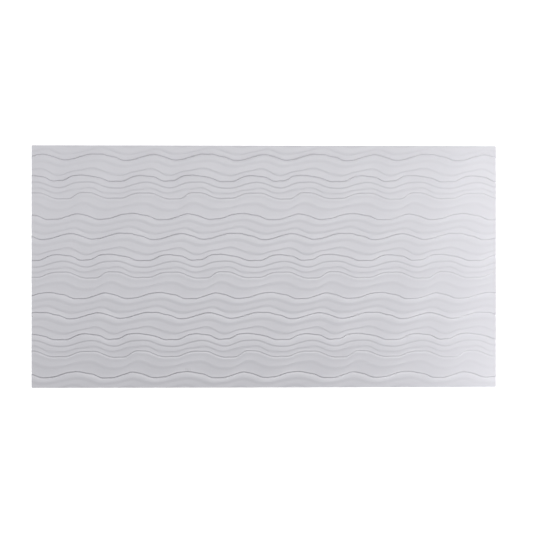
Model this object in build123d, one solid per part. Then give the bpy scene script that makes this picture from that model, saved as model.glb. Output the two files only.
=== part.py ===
from build123d import *
import os
from dataclasses import dataclass
from math import ceil, floor

# Vinyl ceiling panel: one thin sheet of white vinyl, thermoformed into wind-blown sand ripples.
# All sizes are in millimetres. The sheet lies face up, with its length along X and its width along Y.
# The origin is under the middle of the sheet, level with the lowest lines of its back.

# Sheet
sheet_length = 1212.85
sheet_width = 603.25
sheet_gauge = 0.76

# Repeat of the relief. Its stations are evenly spaced along the sheet, and a ripple's course is given at each.
# A row of repeats starts a quarter of a repeat further along than the row above it.
repeat_length = 288.5
repeat_width = 196.9
stations_per_repeat = 12
row_shift_stations = stations_per_repeat // 4
station_pitch = repeat_length / stations_per_repeat

# Where the broad crest of the repeat's first ripple lies, from the middle of the sheet
pattern_start_x = 11.4
pattern_start_y = -71.3

# Section across a ripple: a gentle rise to its crest, then a steep fall to its foot
fall_run = 2.4

# Spare stock beyond the outline, which the trimming die cuts off
trim_allowance = 12.0


@dataclass
class Ripple:
    """One ripple of the repeat, seen from above.

    share_down is where it lies in the repeat's width, and height is the drop from its crest to its foot.
    course holds how far its crest lies above its own middle line at each station of the repeat.
    """

    name: str
    share_down: float
    height: float
    course: list


long_ripple = Ripple(
    "long_ripple",
    share_down=0.0,
    height=1.50,
    course=[8.0, 5.5, 0.5, -7.0, -6.5, -1.5, 6.5, 4.0, -4.0, -6.5, -3.0, 4.5],
)
second_ripple = Ripple(
    "second_ripple",
    share_down=0.248,
    height=1.58,
    course=[6.0, 1.5, -6.5, -8.0, -1.5, 5.5, 5.0, -2.5, -7.5, -3.5, 4.0, 7.5],
)
kinked_ripple = Ripple(
    "kinked_ripple",
    share_down=0.514,
    height=1.72,
    course=[-2.5, -8.0, -8.0, 1.0, 6.5, 5.0, -1.5, -8.0, -2.0, 7.0, 6.5, 4.0],
)
low_ripple = Ripple(
    "low_ripple",
    share_down=0.737,
    height=0.86,
    course=[-4.0, -6.5, -6.0, 2.0, 6.5, 7.0, 1.0, -7.0, -8.0, 1.0, 9.0, 5.0],
)
repeat = [long_ripple, second_ripple, kinked_ripple, low_ripple]


@dataclass
class Crest:
    """A ripple placed in one row of repeats. Row 0 is at pattern_start, and row 1 is the one below it."""

    ripple: Ripple
    row: int

    def point(self, station):
        """Where the crest is at a station, counted along the sheet from pattern_start_x."""
        rows_down = self.row + self.ripple.share_down
        course = self.ripple.course
        along = (station - self.row * row_shift_stations) % stations_per_repeat
        return (
            pattern_start_x + station * station_pitch,
            pattern_start_y - rows_down * repeat_width + course[along],
        )

    def line(self, down, z):
        """The crest's course over the whole stock, moved down the sheet and laid at one height."""
        reach = sheet_length / 2 + trim_allowance
        first = floor((-reach - pattern_start_x) / station_pitch)
        last = ceil((reach - pattern_start_x) / station_pitch)
        stations = list(range(first, last + 1))
        points = [self.point(station) for station in stations]
        return Edge.make_spline(
            [(x, y - down, z) for x, y in points],
            parameters=[float(station) for station in stations],
        )

    def top(self):
        """The line along the ripple's crest."""
        return self.line(0, sheet_gauge + self.ripple.height)

    def foot(self):
        """The line along the bottom of the ripple's fall."""
        return self.line(fall_run, sheet_gauge)


def crests_on_stock():
    """Every crest that touches the sheet and one more past each long edge, from +Y to -Y."""
    reach = sheet_width / 2 + trim_allowance
    rows = ceil((reach + abs(pattern_start_y)) / repeat_width) + 1
    placed = [Crest(ripple, row) for row in range(-rows, rows + 1) for ripple in repeat]
    above = [i for i, crest in enumerate(placed) if crest.foot().bounding_box().min.Y > sheet_width / 2]
    below = [i for i, crest in enumerate(placed) if crest.top().bounding_box().max.Y < -sheet_width / 2]
    return placed[above[-1] : below[0] + 1]


def ruled(upper, lower):
    """The strip of face between two lines."""
    return Face.make_surface_from_curves(upper, lower)


def skin_strips(crests):
    """The moulded face as strips, from +Y to -Y: each ripple's fall, and the rise to the next crest."""
    strips = []
    for crest, below in zip(crests, crests[1:]):
        strips.append(ruled(crest.top(), crest.foot()))
        strips.append(ruled(crest.foot(), below.top()))
    return strips


def is_boundary(edge, edges):
    """True for an edge that only one strip has."""
    middle = edge @ 0.5
    return sum((other @ 0.5 - middle).length < 1e-6 for other in edges) == 1


def formed_stock():
    """The sheet before it is trimmed: the moulded face, the same face one gauge lower, and the stock's sides."""
    strips = skin_strips(crests_on_stock())
    through = Vector(0, 0, -sheet_gauge)
    back = [strip.moved(Location(through)) for strip in strips]
    edges = [edge for strip in strips for edge in strip.edges()]
    outline = [edge for edge in edges if is_boundary(edge, edges)]
    sides = [Face.extrude(edge, through) for edge in outline]
    return Solid(Shell(strips + back + sides))


def panel():
    """The sheet, trimmed square to its outline."""
    tallest = sheet_gauge + max(ripple.height for ripple in repeat)
    trimming_die = Box(sheet_length, sheet_width, 4 * tallest)
    return formed_stock() & trimming_die


os.makedirs("parts", exist_ok=True)
export_step(panel(), "parts/panel.step")
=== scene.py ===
"""A vinyl ceiling panel: one thermoformed sheet in sand ripples, its finishes and the studio it lies in.

Lengths are in metres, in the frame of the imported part: X along the sheet, Y across it, Z out of its face.
"""

import logging
import math
from dataclasses import dataclass, field
from enum import Enum

import bmesh
import bpy
import numpy as np
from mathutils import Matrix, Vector

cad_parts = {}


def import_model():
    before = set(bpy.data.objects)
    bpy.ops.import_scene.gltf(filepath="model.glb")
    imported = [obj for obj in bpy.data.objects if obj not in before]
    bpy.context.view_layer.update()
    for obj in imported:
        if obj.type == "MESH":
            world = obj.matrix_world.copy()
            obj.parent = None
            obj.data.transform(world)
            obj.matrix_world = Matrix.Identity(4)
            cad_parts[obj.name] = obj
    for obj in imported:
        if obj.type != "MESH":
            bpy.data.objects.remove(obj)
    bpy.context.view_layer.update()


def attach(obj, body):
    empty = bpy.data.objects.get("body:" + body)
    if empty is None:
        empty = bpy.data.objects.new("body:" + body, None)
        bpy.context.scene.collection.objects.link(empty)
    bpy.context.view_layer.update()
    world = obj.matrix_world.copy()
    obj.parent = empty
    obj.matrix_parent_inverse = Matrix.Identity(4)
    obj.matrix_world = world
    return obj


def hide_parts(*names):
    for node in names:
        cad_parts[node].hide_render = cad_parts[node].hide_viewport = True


LOG = logging.getLogger("ceiling_panel")

MM = 0.001
GAUGE = 0.76 * MM
MAIN_RUN = 2.8 * MM
FAINT_RUN = 4.0 * MM
BLEMISH_COLOR = (0.05, 0.045, 0.04)


class Skin(Enum):
    """The three kinds of surface on the sheet, each with its place in the list of materials."""

    FACE = 0
    BACK = 1
    CUT_EDGE = 2


@dataclass(frozen=True)
class Ripple:
    """One ripple of the repeat: the line of its crest, the fall below it, and the climb to the next crest.

    share_down is its place in the repeat's width. fall is its height from crest to foot, and run the fall's
    width. lip is how far the crest stands up at its very edge, and groove how far the foot dips there.
    course is how far the crest lies above its middle line, in millimetres, at even steps along the repeat.
    """

    name: str
    share_down: float
    fall: float
    run: float
    climb: float
    course: tuple[float, ...]
    lip: float = 0.0
    groove: float = 0.0

    def across(self, turns: np.ndarray) -> np.ndarray:
        """Find the smooth wave through the course: its own harmonics, added up at each place.

        Each harmonic counts twice, once for its mirror image, but for the mean and the highest one.

        Args:
            turns: Places along the sheet, as a count of repeats.

        Returns:
            How far the crest lies above its middle line there, in metres.
        """
        waves = np.fft.rfft(self.course) / len(self.course)
        weights = np.full(len(waves), 2.0)
        weights[0] = 1.0
        weights[-1] = 1.0
        angles = 2.0 * np.pi * np.outer(turns, np.arange(len(waves)))
        return MM * (np.exp(1j * angles) @ (weights * waves)).real


def main_ripple(
    name: str,
    share_down: float,
    fall: float,
    climb: float,
    groove: float,
    course: tuple[float, ...],
    lip: float = 0.0,
) -> Ripple:
    """Make a main ripple, whose fall is short and steep, and runs down into a groove.

    Args:
        name: What the ripple is called.
        share_down: Its place in the repeat's width.
        fall: Its height, in millimetres.
        climb: The climb below it, in millimetres.
        groove: How far its foot dips, in millimetres.
        course: The line of its crest.
        lip: How far its crest stands up, in millimetres.

    Returns:
        The ripple.
    """
    return Ripple(name, share_down, fall * MM, MAIN_RUN, climb * MM, course, lip * MM, groove * MM)


def faint_ripple(
    name: str,
    share_down: float,
    fall: float,
    climb: float,
    course: tuple[float, ...],
) -> Ripple:
    """Make one of the low ripples on the way up to a main one, whose fall is softer.

    Args:
        name: What the ripple is called.
        share_down: Its place in the repeat's width.
        fall: Its height, in millimetres.
        climb: The climb below it, in millimetres.
        course: The line of its crest.

    Returns:
        The ripple.
    """
    return Ripple(name, share_down, fall * MM, FAINT_RUN, climb * MM, course)


LOW_COURSE = (-3.5, -6.5, -6, -6, -4, 2, 6, 7, 7, 6, 0.5, -5, -8, -7.5, -7, 1, 8, 8, 7, 2)

REPEAT = (
    main_ripple(
        "long_ripple", 0.0, fall=1.50, climb=0.98, groove=0.50, lip=0.22,
        course=(
            8, 7.5, 4.5, 2.5, -3, -7.5, -7, -6.5, -2.5, 2,
            6.5, 6, 3, -2, -6.5, -6.5, -5, -1.5, 3.5, 6.5,
        ),
    ),
    faint_ripple(
        "below_long_ripple", 0.078, fall=0.56, climb=0.60,
        course=(7, 6, -2, -7, -4.5, -0.5, 5.5, 2.5, -5, -5.5, -1, 3.5),
    ),
    faint_ripple(
        "above_second_ripple", 0.174, fall=0.58, climb=1.14,
        course=(10, 2, -5.5, -7.5, -2.5, 2.5, 6, -3, -6, -4, 1, 6.5),
    ),
    main_ripple(
        "second_ripple", 0.248, fall=1.58, climb=0.84, groove=0.52, lip=0.14,
        course=(
            7, 3, 0.5, -5, -8.5, -7.5, -4.5, 0, 4, 6.5,
            5, 1, -4, -7.5, -6.5, -3.5, 1, 5, 7.5, 7,
        ),
    ),
    faint_ripple(
        "below_second_ripple", 0.327, fall=0.48, climb=0.92,
        course=(6.5, -1, -7, -5.5, 0, 4, 4, -4.5, -5.5, -1, 3.5, 6.5),
    ),
    faint_ripple(
        "above_kinked_ripple", 0.431, fall=0.62, climb=1.06,
        course=(2, -6, -9, -2.5, 2.5, 7.5, 2, -9, -4.5, 2, 6, 9),
    ),
    main_ripple(
        "kinked_ripple", 0.514, fall=1.72, climb=1.10, groove=0.52,
        course=(
            -2, -7.5, -8, -8, -6, 1, 5.5, 6.5, 5, 3.5,
            -1.5, -7.5, -6.5, -5, 2.5, 6.5, 7.5, 6.5, 4.5, 2,
        ),
    ),
    faint_ripple(
        "below_kinked_ripple", 0.597, fall=0.90, climb=0.76,
        course=(-2.5, -7.5, -7.5, -1.5, 5, 6.5, 0, -7, -3.5, 5, 7, 6),
    ),
    faint_ripple(
        "above_low_ripple", 0.671, fall=0.60, climb=0.50,
        course=(-5, -6.5, -6, 0.5, 3, 6.5, 0, -6, -1.5, 3.5, 6, 6),
    ),
    main_ripple("low_ripple", 0.737, fall=0.86, climb=0.44, groove=0.22, lip=0.10, course=LOW_COURSE),
    faint_ripple("below_low_ripple", 0.779, fall=0.14, climb=0.82, course=LOW_COURSE),
    faint_ripple(
        "above_long_ripple", 0.873, fall=0.42, climb=0.80,
        course=(-6, -5.5, -1.5, 4.5, 8, 7, -4, -8.5, -7.5, 3.5, 10, 1),
    ),
)


@dataclass(frozen=True)
class PlacedRipple:
    """A ripple in one row of repeats, and the height of its foot. Row 0 is where the pattern starts."""

    ripple: Ripple
    row: int
    foot: float


@dataclass
class SandRelief:
    """The moulded face as a surface of two values: the place along the sheet, and the way down it.

    The way down passes each ripple's fall, from its crest to its foot, then the climb to the next crest.
    fall_rows and climb_rows are the grid's rows on each of them, as shares of the way. A fall's last row is
    the next climb's first, and a climb's last is the next fall's first.
    """

    repeat_length: float = 288.5 * MM
    repeat_width: float = 196.9 * MM
    row_shift: float = 0.25
    start_x: float = 11.4 * MM
    start_y: float = -71.3 * MM
    fall_rows: tuple[float, ...] = (0.0,)
    climb_rows: tuple[float, ...] = (0.0, 0.2, 0.5, 0.8)
    edge_reach: float = 5.0 * MM

    def crest(self, placed: PlacedRipple, x: np.ndarray) -> np.ndarray:
        """Find a placed ripple's crest: its middle line, plus the wave of its course moved along by row.

        Args:
            placed: The ripple and its row.
            x: Places along the sheet.

        Returns:
            The crest's y at each x.
        """
        turns = (x - self.start_x) / self.repeat_length - placed.row * self.row_shift
        rows_down = placed.row + placed.ripple.share_down
        return self.start_y - rows_down * self.repeat_width + placed.ripple.across(turns)

    def placed_between(self, x: np.ndarray, low: float, high: float) -> list[PlacedRipple]:
        """List the ripples that reach a stretch of the sheet, and one more past each end of it.

        A ripple's foot lies at the sum of the climbs before it in its repeat, less the falls so far.

        Args:
            x: Places along the sheet.
            low: The stretch's lowest y.
            high: The stretch's highest y.

        Returns:
            The ripples, from the highest y to the lowest.
        """
        rows = math.ceil((high - low) / self.repeat_width) + 1
        falls = np.cumsum([ripple.fall for ripple in REPEAT])
        climbs = np.cumsum([0.0] + [ripple.climb for ripple in REPEAT[:-1]])
        feet = REPEAT[0].fall + climbs - falls
        placed = [
            PlacedRipple(ripple, row, foot)
            for row in range(-rows, rows + 1)
            for ripple, foot in zip(REPEAT, feet)
        ]
        above = [n for n, one in enumerate(placed) if self.crest(one, x).min() - one.ripple.run > high]
        below = [n for n, one in enumerate(placed) if self.crest(one, x).max() < low]
        return placed[above[-1] : below[0] + 1]

    def beside(self, away: np.ndarray) -> np.ndarray:
        """Find how much of a lip or a groove is left: the square of the way left to the end of its reach.

        Args:
            away: The distance from the crest or the foot.

        Returns:
            1 at the crest or the foot, and 0 at the end of the reach and beyond.
        """
        return np.clip(1.0 - away / self.edge_reach, 0.0, 1.0) ** 2

    def surface(self, x: np.ndarray, low: float, high: float) -> np.ndarray:
        """Work out the relief over a stretch of the sheet.

        A fall is a straight ramp. A climb is a mix of two squares, so that it is steeper beside the deeper
        fall. It starts in the groove of the fall above it, and ends on the lip of the next.

        Args:
            x: Places along the sheet, one for each column of the grid.
            low: The stretch's lowest y.
            high: The stretch's highest y.

        Returns:
            A grid of points, with a row for each station down the sheet, the main feet being at height 0.
        """
        down_fall = np.array(self.fall_rows)[:, None]
        up_climb = np.array(self.climb_rows)[:, None]
        placed = self.placed_between(x, low, high)
        across, heights = [], []
        for upper, lower in zip(placed, placed[1:]):
            one, following = upper.ripple, lower.ripple
            crest, end = self.crest(upper, x), self.crest(lower, x)
            foot = crest - one.run
            across.append(crest - one.run * down_fall)
            drop = (one.fall + one.lip) * (1.0 - down_fall) - one.groove * down_fall
            heights.append(upper.foot + drop + np.zeros_like(x))
            way = (1.0 - up_climb) * foot + up_climb * end
            across.append(way)
            pull = one.fall / (one.fall + following.fall)
            climbed = pull * (1.0 - (1.0 - up_climb) ** 2) + (1.0 - pull) * up_climb**2
            edges = following.lip * self.beside(way - end) - one.groove * self.beside(foot - way)
            heights.append(upper.foot + one.climb * climbed + edges)
        y = np.vstack(across)
        z = np.vstack(heights)
        return np.stack([np.broadcast_to(x, y.shape), y, z], axis=-1)


@dataclass
class NodeWriter:
    """Adds nodes to one tree and joins them up, so that a pattern can be written as a formula."""

    tree: bpy.types.NodeTree

    def feed(self, socket: bpy.types.NodeSocket, value: object) -> None:
        """Join an output to a socket, or set the socket to a plain value.

        Args:
            socket: The input that is fed.
            value: Another node's output, or a value.
        """
        if isinstance(value, bpy.types.NodeSocket):
            self.tree.links.new(value, socket)
        else:
            socket.default_value = value

    def math(self, operation: str, *values: object) -> bpy.types.NodeSocket:
        """Add a Math node.

        Args:
            operation: What it does.
            values: A number or an output for each of its inputs.

        Returns:
            Its output.
        """
        node = self.tree.nodes.new("ShaderNodeMath")
        node.operation = operation
        for socket, value in zip(node.inputs, values):
            self.feed(socket, value)
        return node.outputs[0]

    def vector(self, operation: str, *values: object) -> bpy.types.NodeSocket:
        """Add a Vector Math node.

        Args:
            operation: What it does.
            values: A vector or an output for each of its first inputs.

        Returns:
            Its vector, or its value where the operation has only a value.
        """
        node = self.tree.nodes.new("ShaderNodeVectorMath")
        node.operation = operation
        for socket, value in zip(node.inputs, values):
            self.feed(socket, value)
        return node.outputs["Value" if operation == "LENGTH" else "Vector"]

    def noise(self, place: bpy.types.NodeSocket, scale: float, detail: float) -> bpy.types.NodeSocket:
        """Add a noise with its middle at 0.

        Args:
            place: Where it is looked up.
            scale: Lumps in a metre.
            detail: Octaves of finer lumps.

        Returns:
            The noise, from about -0.5 to 0.5.
        """
        node = self.tree.nodes.new("ShaderNodeTexNoise")
        node.inputs["Scale"].default_value = scale
        node.inputs["Detail"].default_value = detail
        self.feed(node.inputs["Vector"], place)
        return self.math("SUBTRACT", node.outputs["Fac"], 0.5)

    def fade(self, value: bpy.types.NodeSocket, start: float, end: float) -> bpy.types.NodeSocket:
        """Add a soft step from 1 down to 0.

        Args:
            value: What it follows.
            start: Where it leaves 1.
            end: Where it reaches 0.

        Returns:
            The step.
        """
        node = self.tree.nodes.new("ShaderNodeMapRange")
        node.interpolation_type = "SMOOTHSTEP"
        node.inputs["From Min"].default_value = start
        node.inputs["From Max"].default_value = end
        node.inputs["To Min"].default_value = 1.0
        node.inputs["To Max"].default_value = 0.0
        self.feed(node.inputs["Value"], value)
        return node.outputs["Result"]

    def tint(
        self,
        colour: bpy.types.NodeSocket,
        share: bpy.types.NodeSocket,
        other: tuple[float, float, float],
    ) -> bpy.types.NodeSocket:
        """Mix a share of another colour into one.

        Args:
            colour: The first colour.
            share: How much of the other there is, from 0 to 1.
            other: The other colour.

        Returns:
            The mixed colour.
        """
        node = self.tree.nodes.new("ShaderNodeMix")
        node.data_type = "RGBA"
        self.feed(node.inputs[0], share)
        self.feed(node.inputs[6], colour)
        node.inputs[7].default_value = (*other, 1.0)
        return node.outputs[2]


@dataclass(frozen=True)
class Blemish:
    """A small mark on the decorated face: its middle, half its size along X and Y, and how dark it is.

    core is the share of its half size that is fully dark, and rim the share at which it is gone.
    """

    name: str
    middle: tuple[float, float]
    half_size: tuple[float, float]
    darkness: float
    core: float = 0.5
    rim: float = 1.2

    def mask(self, write: NodeWriter, place: bpy.types.NodeSocket) -> bpy.types.NodeSocket:
        """Work out where the mark is, as an oval with a soft rim.

        Args:
            write: Adds the nodes.
            place: The place on the sheet.

        Returns:
            The mark's darkness inside it, and 0 outside.
        """
        from_middle = write.vector("SUBTRACT", place, (*self.middle, 0.0))
        flat = (1.0 / self.half_size[0], 1.0 / self.half_size[1], 0.0)
        reach = write.vector("LENGTH", write.vector("MULTIPLY", from_middle, flat))
        return write.math("MULTIPLY", write.fade(reach, self.core, self.rim), self.darkness)


BLEMISHES = (
    Blemish("first_tick", (-205.0 * MM, -256.0 * MM), (0.9 * MM, 4.5 * MM), 0.30),
    Blemish("second_tick", (-200.0 * MM, -257.5 * MM), (0.9 * MM, 5.0 * MM), 0.34),
    Blemish("third_tick", (-194.5 * MM, -256.5 * MM), (0.9 * MM, 3.5 * MM), 0.26),
    Blemish("edge_nick", (-605.0 * MM, -123.5 * MM), (2.6 * MM, 1.2 * MM), 0.45),
    Blemish("faint_rub", (-519.0 * MM, 213.6 * MM), (7.5 * MM, 0.9 * MM), 0.10),
)


@dataclass(frozen=True)
class VinylFinish:
    """White vinyl sheet on one kind of surface. Shares are of the colour, and sizes are in metres."""

    name: str
    base_color: tuple[float, float, float]
    roughness: float
    roughness_spread: float
    clouding: float
    streaking: float
    flecking: float
    dust_and_shade: float
    edge_wear: float
    grain_size: float
    grain_depth: float
    ior: float = 1.53
    blemishes: tuple[Blemish, ...] = ()

    def material(self, surface: bpy.types.NodeTree) -> bpy.types.Material:
        """Make the finish's material.

        Args:
            surface: The node group that works out the vinyl's colour, roughness and height.

        Returns:
            The material.
        """
        made = bpy.data.materials.new(self.name)
        made.use_nodes = True
        write = NodeWriter(made.node_tree)
        nodes = made.node_tree.nodes
        shader = nodes["Principled BSDF"]
        shader.inputs["IOR"].default_value = self.ior
        place = nodes.new("ShaderNodeTexCoord").outputs["Object"]
        vinyl = nodes.new("ShaderNodeGroup")
        vinyl.node_tree = surface
        given = {
            "Place": place,
            "Base Color": (*self.base_color, 1.0),
            "Clouding": self.clouding,
            "Streaking": self.streaking,
            "Flecking": self.flecking,
            "Dust And Shade": self.dust_and_shade,
            "Edge Wear": self.edge_wear,
            "Roughness": self.roughness,
            "Roughness Spread": self.roughness_spread,
            "Grain Size": self.grain_size,
        }
        for name, value in given.items():
            write.feed(vinyl.inputs[name], value)
        colour = vinyl.outputs["Color"]
        for blemish in self.blemishes:
            colour = write.tint(colour, blemish.mask(write, place), BLEMISH_COLOR)
        bump = nodes.new("ShaderNodeBump")
        bump.inputs["Distance"].default_value = self.grain_depth
        write.feed(shader.inputs["Base Color"], colour)
        write.feed(shader.inputs["Roughness"], vinyl.outputs["Roughness"])
        write.feed(bump.inputs["Height"], vinyl.outputs["Height"])
        write.feed(shader.inputs["Normal"], bump.outputs["Normal"])
        return made


FACE_FINISH = VinylFinish(
    "vinyl_face",
    base_color=(0.66, 0.655, 0.697),
    roughness=0.37,
    roughness_spread=0.08,
    clouding=0.035,
    streaking=0.02,
    flecking=0.05,
    # This share is dust and also painted shade: it tints the grooves at the feet of the falls darker.
    dust_and_shade=0.05,
    edge_wear=0.5,
    grain_size=1.1 * MM,
    grain_depth=0.02 * MM,
    blemishes=BLEMISHES,
)
BACK_FINISH = VinylFinish(
    "vinyl_back",
    base_color=(0.63, 0.625, 0.66),
    roughness=0.32,
    roughness_spread=0.14,
    clouding=0.06,
    streaking=0.05,
    flecking=0.08,
    dust_and_shade=0.0,
    edge_wear=0.5,
    grain_size=2.5 * MM,
    grain_depth=0.02 * MM,
)
CUT_FINISH = VinylFinish(
    "vinyl_cut_edge",
    base_color=(0.70, 0.695, 0.725),
    roughness=0.60,
    roughness_spread=0.16,
    clouding=0.08,
    streaking=0.0,
    flecking=0.10,
    dust_and_shade=0.0,
    edge_wear=0.0,
    grain_size=0.4 * MM,
    grain_depth=0.05 * MM,
)


@dataclass(frozen=True)
class VinylPattern:
    """What all the sheet's vinyl has in common: the scales of its mottling, its dust and painted shade in
    the lowest lines, and its worn rim.

    Each scale is a count of lumps in a metre. dulling is how much rougher full dust and painted shade, or
    full wear, makes the vinyl.
    """

    sheet_length: float
    sheet_width: float
    cloud_scale: float = 7.0
    sheen_scale: float = 30.0
    streak_length: float = 500 * MM
    streak_width: float = 9 * MM
    fleck_spacing: float = 9 * MM
    fleck_size: float = 0.45 * MM
    fleck_core: float = 0.5
    flecked_share: float = 0.25
    wear_width: float = 2.5 * MM
    wear_scale: float = 60.0
    wear_raggedness: float = 2.0
    worn_color: tuple[float, float, float] = (0.80, 0.80, 0.82)
    dust_and_shade_height: float = 0.35 * MM
    dust_and_shade_scale: float = 25.0
    dust_and_shade_cover: float = 0.6
    # A dark, warm tint for dust and for painted shade in the grooves.
    dust_and_shade_color: tuple[float, float, float] = (0.40, 0.37, 0.33)
    dulling: float = 0.4
    pebble_softness: float = 0.6
    swell_scale: float = 70.0
    swell_height: float = 2.0

    def streaks(self, write: NodeWriter, place: bpy.types.NodeSocket) -> bpy.types.NodeSocket:
        """Work out the rolling marks, which run along the sheet: a noise stretched along X.

        Args:
            write: Adds the nodes.
            place: The place on the sheet.

        Returns:
            The marks, from about -0.5 to 0.5.
        """
        squeezed = (1.0 / self.streak_length, 1.0 / self.streak_width, 1.0 / self.streak_width)
        return write.noise(write.vector("MULTIPLY", place, squeezed), 1.0, detail=3.0)

    def flecks(self, write: NodeWriter, place: bpy.types.NodeSocket) -> bpy.types.NodeSocket:
        """Work out the flecks in the vinyl: one dot in some of the cells of a scatter.

        Args:
            write: Adds the nodes.
            place: The place on the sheet.

        Returns:
            1 in a fleck and 0 elsewhere.
        """
        cells = write.tree.nodes.new("ShaderNodeTexVoronoi")
        cells.inputs["Scale"].default_value = 1.0 / self.fleck_spacing
        write.feed(cells.inputs["Vector"], place)
        radius = self.fleck_size / self.fleck_spacing
        dot = write.fade(cells.outputs["Distance"], self.fleck_core * radius, radius)
        chance = write.tree.nodes.new("ShaderNodeSeparateColor")
        write.feed(chance.inputs["Color"], cells.outputs["Color"])
        return write.math("MULTIPLY", dot, write.math("LESS_THAN", chance.outputs[0], self.flecked_share))

    def worn_rim(self, write: NodeWriter, place: bpy.types.NodeSocket) -> bpy.types.NodeSocket:
        """Work out the worn rim: a ragged band along the sheet's outline.

        Args:
            write: Adds the nodes.
            place: The place on the sheet.

        Returns:
            1 at the outline, and 0 further in than the band's width.
        """
        axes = write.tree.nodes.new("ShaderNodeSeparateXYZ")
        write.feed(axes.inputs[0], write.vector("ABSOLUTE", place))
        from_end = write.math("SUBTRACT", self.sheet_length / 2, axes.outputs["X"])
        from_side = write.math("SUBTRACT", self.sheet_width / 2, axes.outputs["Y"])
        inwards = write.math("MINIMUM", from_end, from_side)
        lumps = write.noise(place, self.wear_scale, detail=4.0)
        ragged = write.math("MULTIPLY", lumps, self.wear_raggedness * self.wear_width)
        return write.fade(write.math("ADD", inwards, ragged), 0.0, self.wear_width)

    def dust_and_shade(self, write: NodeWriter, place: bpy.types.NodeSocket) -> bpy.types.NodeSocket:
        """Work out the settled dust and painted shade: darker patches in the lowest lines, the grooves, of
        the decorated face.

        Args:
            write: Adds the nodes.
            place: The place on the sheet.

        Returns:
            1 where the dust and painted shade are thickest, and 0 above the lowest lines.
        """
        axes = write.tree.nodes.new("ShaderNodeSeparateXYZ")
        write.feed(axes.inputs[0], place)
        # Painted shade: the lowest lines, the grooves at the feet of the falls, are marked for darkening
        # along with the dust.
        low = write.fade(axes.outputs["Z"], GAUGE, GAUGE + self.dust_and_shade_height)
        patches = write.math("ADD", self.dust_and_shade_cover, write.noise(place, self.dust_and_shade_scale, detail=4.0))
        return write.math("MULTIPLY", low, patches)

    def group(self) -> bpy.types.NodeTree:
        """Build the node group for sheet vinyl.

        Returns:
            The group. Place is in metres, and Grain Size is the width of a pebble.
        """
        made = bpy.data.node_groups.new("vinyl_surface", "ShaderNodeTree")
        sockets = made.interface
        sockets.new_socket("Place", in_out="INPUT", socket_type="NodeSocketVector")
        sockets.new_socket("Base Color", in_out="INPUT", socket_type="NodeSocketColor")
        for name in (
            "Clouding", "Streaking", "Flecking", "Dust And Shade", "Edge Wear",
            "Roughness", "Roughness Spread", "Grain Size",
        ):
            sockets.new_socket(name, in_out="INPUT", socket_type="NodeSocketFloat")
        sockets.new_socket("Color", in_out="OUTPUT", socket_type="NodeSocketColor")
        sockets.new_socket("Roughness", in_out="OUTPUT", socket_type="NodeSocketFloat")
        sockets.new_socket("Height", in_out="OUTPUT", socket_type="NodeSocketFloat")
        write = NodeWriter(made)
        given = made.nodes.new("NodeGroupInput").outputs
        result = made.nodes.new("NodeGroupOutput").inputs
        place = given["Place"]

        clouds = write.noise(place, self.cloud_scale, detail=3.0)
        mottle = write.math("MULTIPLY", clouds, given["Clouding"])
        streak = write.math("MULTIPLY", self.streaks(write, place), given["Streaking"])
        fleck = write.math("MULTIPLY", self.flecks(write, place), given["Flecking"])
        shade = write.math("SUBTRACT", write.math("ADD", 1.0, write.math("ADD", mottle, streak)), fleck)
        plain = made.nodes.new("ShaderNodeVectorMath")
        plain.operation = "SCALE"
        write.feed(plain.inputs[0], given["Base Color"])
        write.feed(plain.inputs["Scale"], shade)
        # Dust and painted shade: the lowest lines are tinted darker and warmer, where the lines' shade
        # falls.
        dust_and_shade = write.math("MULTIPLY", self.dust_and_shade(write, place), given["Dust And Shade"])
        worn = write.math("MULTIPLY", self.worn_rim(write, place), given["Edge Wear"])
        dusty_and_shaded = write.tint(plain.outputs["Vector"], dust_and_shade, self.dust_and_shade_color)
        write.feed(result["Color"], write.tint(dusty_and_shaded, worn, self.worn_color))

        patches = write.noise(place, self.sheen_scale, detail=4.0)
        sheen = write.math("MULTIPLY", patches, given["Roughness Spread"])
        dulled = write.math("MULTIPLY", write.math("ADD", dust_and_shade, worn), self.dulling)
        rough = write.math("ADD", given["Roughness"], sheen)
        write.feed(result["Roughness"], write.math("ADD", rough, dulled))

        pebbles = made.nodes.new("ShaderNodeTexVoronoi")
        pebbles.feature = "SMOOTH_F1"
        pebbles.inputs["Smoothness"].default_value = self.pebble_softness
        write.feed(pebbles.inputs["Vector"], place)
        write.feed(pebbles.inputs["Scale"], write.math("DIVIDE", 1.0, given["Grain Size"]))
        waves = write.noise(place, self.swell_scale, detail=1.0)
        swell = write.math("MULTIPLY", waves, self.swell_height)
        write.feed(result["Height"], write.math("SUBTRACT", swell, pebbles.outputs["Distance"]))
        return made


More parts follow.
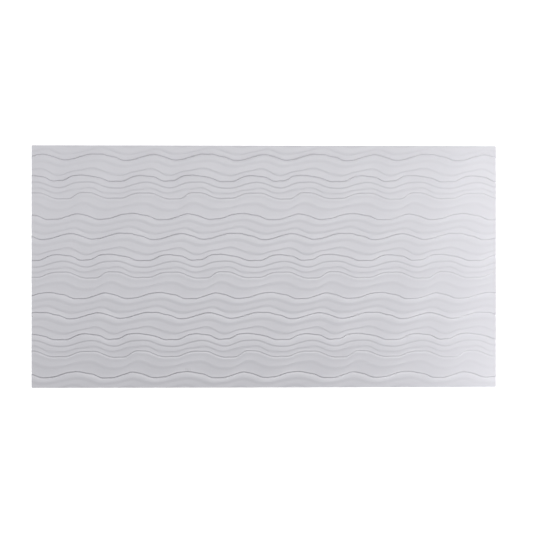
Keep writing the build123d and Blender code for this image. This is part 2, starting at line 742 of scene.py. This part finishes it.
@dataclass
class Sheet:
    """The panel itself: the relief, one gauge of vinyl under it, and the trimmed edges.

    A face whose normal's Z is past facing_limit looks up or down. Any other is a cut edge.
    """

    length: float = 1212.85 * MM
    width: float = 603.25 * MM
    gauge: float = GAUGE
    column_pitch: float = 6.0 * MM
    facing_limit: float = 0.5
    sharp_angle: float = math.radians(12)
    relief: SandRelief = field(default_factory=SandRelief)

    def face_mesh(self) -> bpy.types.Mesh:
        """Make the decorated face as a grid, with its long sides still untrimmed.

        Returns:
            The mesh.
        """
        columns = round(self.length / self.column_pitch) + 1
        x = np.linspace(-self.length / 2, self.length / 2, columns)
        points = self.relief.surface(x, -self.width / 2, self.width / 2)
        points[..., 2] += self.gauge
        corners = np.arange(points.shape[0] * columns).reshape(-1, columns)
        faces = np.stack([corners[1:, :-1], corners[1:, 1:], corners[:-1, 1:], corners[:-1, :-1]], axis=-1)
        mesh = bpy.data.meshes.new("panel_sheet")
        mesh.from_pydata(points.reshape(-1, 3), [], faces.reshape(-1, 4))
        return mesh

    def trim_and_thicken(self, mesh: bpy.types.Mesh) -> None:
        """Cut the face straight along its long sides, and give it its gauge straight down.

        The sheet is thinner under the grooves, since its back stays level with the lowest lines of the rest.

        Args:
            mesh: The face. It becomes the closed sheet.
        """
        work = bmesh.new()
        work.from_mesh(mesh)
        for side in (-1, 1):
            bmesh.ops.bisect_plane(
                work,
                geom=work.verts[:] + work.edges[:] + work.faces[:],
                plane_co=(0, side * self.width / 2, 0),
                plane_no=(0, side, 0),
                clear_outer=True,
            )
        lowered = bmesh.ops.extrude_face_region(work, geom=work.faces[:])["geom"]
        back = [part for part in lowered if isinstance(part, bmesh.types.BMVert)]
        bmesh.ops.translate(work, verts=back, vec=(0, 0, -self.gauge))
        bmesh.ops.recalc_face_normals(work, faces=work.faces[:])
        work.to_mesh(mesh)
        work.free()
        points = np.empty(len(mesh.vertices) * 3)
        mesh.vertices.foreach_get("co", points)
        points[2::3] = np.maximum(points[2::3], 0.0)
        mesh.vertices.foreach_set("co", points)
        mesh.update()

    def dress(self, mesh: bpy.types.Mesh) -> None:
        """Give each face of the sheet its kind of vinyl, by the way it looks: up, down or sideways.

        Args:
            mesh: The closed sheet.
        """
        surface = VinylPattern(self.length, self.width).group()
        for finish in (FACE_FINISH, BACK_FINISH, CUT_FINISH):
            mesh.materials.append(finish.material(surface))
        normals = np.empty(len(mesh.polygons) * 3)
        mesh.polygons.foreach_get("normal", normals)
        up = normals.reshape(-1, 3)[:, 2]
        skins = np.full(len(up), Skin.CUT_EDGE.value, dtype=np.int32)
        skins[up > self.facing_limit] = Skin.FACE.value
        skins[up < -self.facing_limit] = Skin.BACK.value
        mesh.polygons.foreach_set("material_index", skins)
        mesh.shade_smooth()
        mesh.set_sharp_from_angle(angle=self.sharp_angle)

    def build(self) -> bpy.types.Object:
        """Make the whole sheet in place of the CAD's.

        Returns:
            The sheet's object.
        """
        mesh = self.face_mesh()
        self.trim_and_thicken(mesh)
        self.dress(mesh)
        sheet = bpy.data.objects.new("rippled_sheet", mesh)
        bpy.context.scene.collection.objects.link(sheet)
        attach(sheet, "root")
        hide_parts("panel")
        return sheet


@dataclass(frozen=True)
class SoftBox:
    """A square studio lamp: its place, what it faces, its size and strength, and if it casts a sheen."""

    name: str
    place: tuple[float, float, float]
    aim: tuple[float, float, float]
    side: float
    power: float
    sheen: bool = True

    def build(self) -> bpy.types.Object:
        """Hang the lamp.

        Returns:
            The lamp's object.
        """
        lamp = bpy.data.lights.new(self.name, "AREA")
        lamp.shape = "SQUARE"
        lamp.size = self.side
        lamp.energy = self.power
        hung = bpy.data.objects.new(self.name, lamp)
        hung.location = self.place
        facing = Vector(self.aim) - Vector(self.place)
        hung.rotation_euler = facing.to_track_quat("-Z", "Y").to_euler()
        hung.visible_camera = False
        hung.visible_glossy = self.sheen
        bpy.context.scene.collection.objects.link(hung)
        return hung


@dataclass
class Studio:
    """The pale floor, the white surroundings, the lamps and the camera.

    The fills cast no sheen, since at their low height it would be a glare in any low view.
    frame_width is how wide a view the camera takes in, and lean how far off square it is turned.
    """

    floor_side: float = 24.0
    floor_gap: float = 0.2 * MM
    floor_stations: int = 9
    floor_color: float = 0.90
    floor_roughness: float = 0.9
    floor_glow: float = 0.75
    ambient: float = 0.072
    frame_width: float = 1328.1 * MM
    lean: float = math.radians(17.35)
    lens: float = 1500.0
    aim_offset: float = 5.3 * MM
    lamps: tuple[SoftBox, ...] = (
        SoftBox("left_key_softbox", (-4.00, 1.50, 2.50), (0.30, 0.68, 0.0), 1.40, 135.5),
        SoftBox("overhead_softbox", (1.00, 0.80, 2.40), (0.45, 0.36, 0.0), 0.90, 14.5),
        SoftBox("small_overhead_softbox", (0.60, 0.35, 2.40), (0.27, 0.16, 0.0), 0.60, 6.3),
        SoftBox("left_fill", (-1.60, 0.20, 0.90), (-0.72, 0.09, 0.0), 0.50, 3.0, sheen=False),
        SoftBox("low_right_fill", (1.10, -0.50, 0.35), (0.50, -0.23, 0.0), 0.35, 4.4, sheen=False),
        SoftBox("corner_fill", (0.80, 0.25, 0.35), (0.36, 0.11, 0.0), 0.25, 0.62, sheen=False),
    )

    def seen_directly(self, tree: bpy.types.NodeTree) -> bpy.types.NodeSocket:
        """Add nodes that tell rays from the camera, a reflection or a clear thing from all others.

        Args:
            tree: The node tree that they are for.

        Returns:
            A value of 1 for such a ray and 0 for another.
        """
        ray = tree.nodes.new("ShaderNodeLightPath")
        told = ray.outputs["Is Camera Ray"]
        for kind in ("Is Glossy Ray", "Is Transmission Ray"):
            either = tree.nodes.new("ShaderNodeMath")
            either.operation = "MAXIMUM"
            tree.links.new(told, either.inputs[0])
            tree.links.new(ray.outputs[kind], either.inputs[1])
            told = either.outputs[0]
        return told

    def build_world(self) -> None:
        """Surround the scene with white, which lights the panel only as much as ambient says."""
        world = bpy.data.worlds.new("white_surroundings")
        world.use_nodes = True
        tree = world.node_tree
        strength = tree.nodes.new("ShaderNodeMapRange")
        strength.inputs["To Min"].default_value = self.ambient
        tree.links.new(self.seen_directly(tree), strength.inputs["Value"])
        background = tree.nodes["Background"]
        background.inputs["Color"].default_value = (1.0, 1.0, 1.0, 1.0)
        tree.links.new(strength.outputs["Result"], background.inputs["Strength"])
        bpy.context.scene.world = world

    def floor_material(self) -> bpy.types.Material:
        """Make a matt floor that takes shadows and looks white from the camera.

        Returns:
            The material.
        """
        made = bpy.data.materials.new("white_floor")
        made.use_nodes = True
        tree = made.node_tree
        shader = tree.nodes["Principled BSDF"]
        shader.inputs["Base Color"].default_value = (*[self.floor_color] * 3, 1.0)
        shader.inputs["Roughness"].default_value = self.floor_roughness
        shader.inputs["Specular IOR Level"].default_value = 0.0
        shader.inputs["Emission Color"].default_value = (1.0, 1.0, 1.0, 1.0)
        glow = tree.nodes.new("ShaderNodeMath")
        glow.operation = "MULTIPLY"
        glow.inputs[1].default_value = self.floor_glow
        tree.links.new(self.seen_directly(tree), glow.inputs[0])
        tree.links.new(glow.outputs[0], shader.inputs["Emission Strength"])
        return made

    def build_floor(self) -> bpy.types.Object:
        """Lay the floor just under the panel: a flat grid, square about the origin.

        Returns:
            The floor's object.
        """
        reach = np.linspace(-self.floor_side / 2, self.floor_side / 2, self.floor_stations)
        x, y = np.meshgrid(reach, reach)
        points = np.stack([x, y, np.full_like(x, -self.floor_gap)], axis=-1)
        corners = np.arange(x.size).reshape(x.shape)
        faces = np.stack([corners[:-1, :-1], corners[:-1, 1:], corners[1:, 1:], corners[1:, :-1]], axis=-1)
        mesh = bpy.data.meshes.new("floor")
        mesh.from_pydata(points.reshape(-1, 3), [], faces.reshape(-1, 4))
        mesh.materials.append(self.floor_material())
        floor = bpy.data.objects.new("studio_floor", mesh)
        bpy.context.scene.collection.objects.link(floor)
        return floor

    def build_camera(self) -> bpy.types.Object:
        """Set the camera far above the panel, leaning towards -X, with a very long lens.

        Returns:
            The camera's object.
        """
        data = bpy.data.cameras.new("camera")
        data.lens = self.lens
        distance = self.frame_width * self.lens / data.sensor_width
        data.clip_start = 1.0
        data.clip_end = 2.0 * distance
        camera = bpy.data.objects.new("camera", data)
        right = Vector((math.cos(self.lean), 0.0, math.sin(self.lean)))
        towards = Vector((-math.sin(self.lean), 0.0, math.cos(self.lean)))
        camera.location = right * self.aim_offset + towards * distance
        camera.rotation_euler = (0.0, -self.lean, 0.0)
        bpy.context.scene.collection.objects.link(camera)
        bpy.context.scene.camera = camera
        return camera

    def build(self) -> None:
        """Set up the whole studio."""
        self.build_world()
        self.build_floor()
        for lamp in self.lamps:
            lamp.build()
        self.build_camera()
        bpy.context.scene.view_settings.view_transform = "Standard"


def main() -> None:
    """Load the frame, build the panel and its studio, and report each piece."""
    logging.basicConfig(level=logging.INFO, format="%(name)s: %(message)s")
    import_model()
    sheet = Sheet().build()
    LOG.info("%s: %d faces", sheet.name, len(sheet.data.polygons))
    Studio().build()
    LOG.info("studio: floor, surroundings, lamps and camera")


if __name__ == "__main__":
    main()
